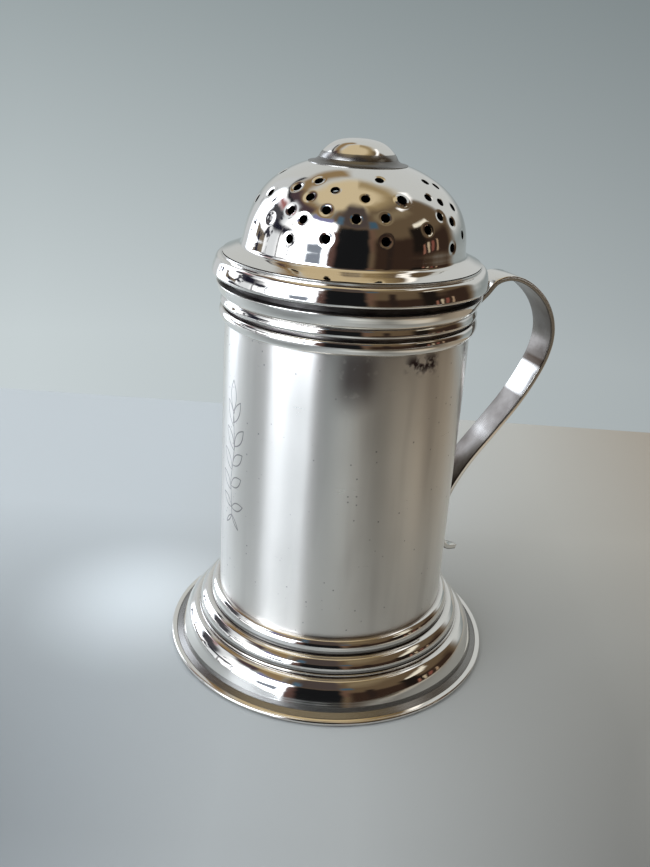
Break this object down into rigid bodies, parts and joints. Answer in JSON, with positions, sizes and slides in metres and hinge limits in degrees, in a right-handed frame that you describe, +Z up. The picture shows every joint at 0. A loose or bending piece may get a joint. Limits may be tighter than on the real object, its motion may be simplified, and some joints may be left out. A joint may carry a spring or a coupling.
{
  "type": "pepper caster",
  "caption": "Straight-sided silver pepper caster on a stepped round foot, with a reeded collar, a flat strap handle and a pull-off pierced domed cover.",
  "frame": {"origin": "centre of the bounding box's underside, on the plane that the caster stands on; the caster's own axis stands 5.275 mm to -X of it, because the handle reaches out along +X", "axes": "+Z up along the caster's axis towards the finial, +X towards the handle, the XZ plane through the middle of the strap"},
  "size_m": [0.07, 0.0594, 0.0903],
  "materials": {
    "polished_silver": "antique silver, highly polished",
    "drum_silver": "antique silver, softly polished and a little worn",
    "strap_silver": "antique silver, hand polished, with fine scratches"
  },
  "bodies": {
    "caster_body": {"body_tube": "drum_silver", "base_disc": "drum_silver", "foot_edge_wire": "polished_silver", "foot_flange": "polished_silver", "foot_moulding": "polished_silver", "collar_reed_lower": "polished_silver", "collar_reed_upper": "polished_silver", "collar_moulding": "polished_silver", "handle_strap": "strap_silver"},
    "cover": {"cover_bezel": "drum_silver", "cover_rim": "polished_silver", "cover_dome": "polished_silver", "finial_plate": "polished_silver", "finial_button": "polished_silver"}
  },
  "joints": [
    {"name": "cover_lift", "type": "slide", "parent": "caster_body", "child": "cover", "axis": [0, 0, 1], "range_m": [0, 0.015]}
  ]
}
